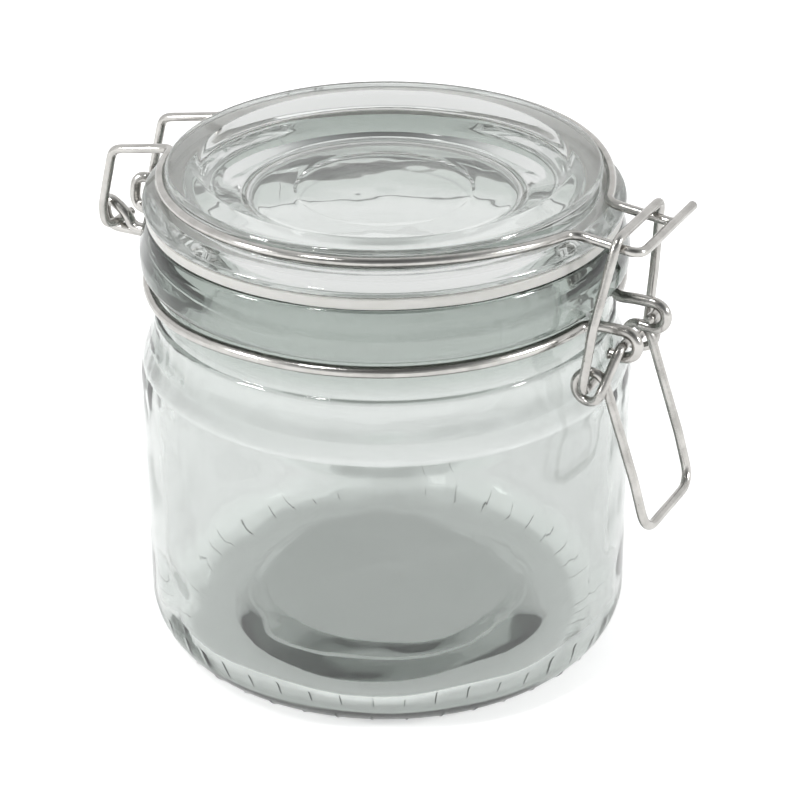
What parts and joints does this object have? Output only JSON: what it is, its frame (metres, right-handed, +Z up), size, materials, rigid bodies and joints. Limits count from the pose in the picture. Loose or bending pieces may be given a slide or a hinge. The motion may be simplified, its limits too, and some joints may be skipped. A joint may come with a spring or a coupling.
{
  "type": "lidded glass canister",
  "caption": "Round glass storage jar with a hinged glass lid, a sealing ring and a bent-wire bail latch that clamps the lid shut.",
  "frame": {"origin": "centre of the jar's base, on the surface it stands on", "axes": "+Z up along the jar's axis, -Y towards the latch, +Y towards the lid's hinge, X along the hinge pins"},
  "size_m": [0.11, 0.1407, 0.1137],
  "materials": {
    "jar_glass": "clear, fire-polished",
    "lid_glass": "clear, fire-polished",
    "seal": "translucent, smooth",
    "neck_steel": "bright drawn wire",
    "lid_steel": "bright drawn wire",
    "lever_steel": "bright drawn wire",
    "link_steel": "bright drawn wire"
  },
  "bodies": {
    "jar": {"glass_jar": "jar_glass", "neck_wire": "neck_steel"},
    "lid": {"glass_lid": "lid_glass", "gasket": "seal", "lid_wire": "lid_steel"},
    "lever": {"latch_lever": "lever_steel"},
    "link": {"latch_link": "link_steel"}
  },
  "joints": [
    {"name": "lid_hinge", "type": "hinge", "parent": "jar", "child": "lid", "pos_m": [0, 0.0651, 0.0892], "axis": [-1, 0, 0], "range_deg": [0, 110]},
    {"name": "lever_pivot", "type": "hinge", "parent": "jar", "child": "lever", "pos_m": [0, -0.0609, 0.086], "axis": [-1, 0, 0], "range_deg": [0, 95]},
    {"name": "link_pivot", "type": "hinge", "parent": "lever", "child": "link", "pos_m": [0, -0.0556, 0.0776], "axis": [-1, 0, 0], "range_deg": [-129, 0]}
  ],
  "couplings": [
    {"joint": "link_pivot", "follows": "lever_pivot", "ratio": -1.35}
  ]
}
